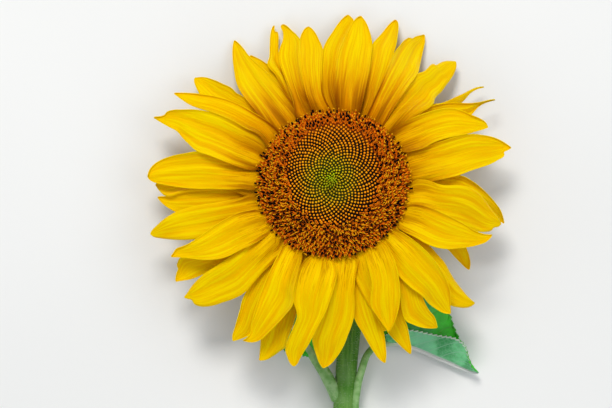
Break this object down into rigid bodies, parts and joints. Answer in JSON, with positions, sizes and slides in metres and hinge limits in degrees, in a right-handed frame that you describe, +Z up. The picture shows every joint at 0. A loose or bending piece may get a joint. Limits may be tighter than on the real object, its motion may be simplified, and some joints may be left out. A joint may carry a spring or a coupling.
{
  "type": "sunflower",
  "caption": "Open sunflower as picked, lying face up: yellow ray florets round a brown and green disc, with its bent neck, cut stem and small toothed leaves.",
  "frame": {"origin": "on the surface that it lies on, under the middle of the whole flower's box", "axes": "+Z up out of the bloom's face, -Y along the stem towards its cut end, +X to the right of the bloom seen from above"},
  "size_m": [0.2019, 0.3252, 0.056],
  "materials": {
    "stem": "matt, with fine pale hairs",
    "receptacle": "matt, finely hairy",
    "ray_florets": "satin petal with fine ridges",
    "disc_florets": "matt, fuzzy",
    "disc_buds": "matt beads",
    "leaf_right": "rough, matt",
    "leaf_left": "rough, matt"
  },
  "bodies": {
    "root": {"stem": "stem", "receptacle": "receptacle", "ray_florets": "ray_florets", "disc_florets": "disc_florets", "disc_buds": "disc_buds", "leaf_right": "leaf_right", "leaf_left": "leaf_left"}
  },
  "joints": []
}
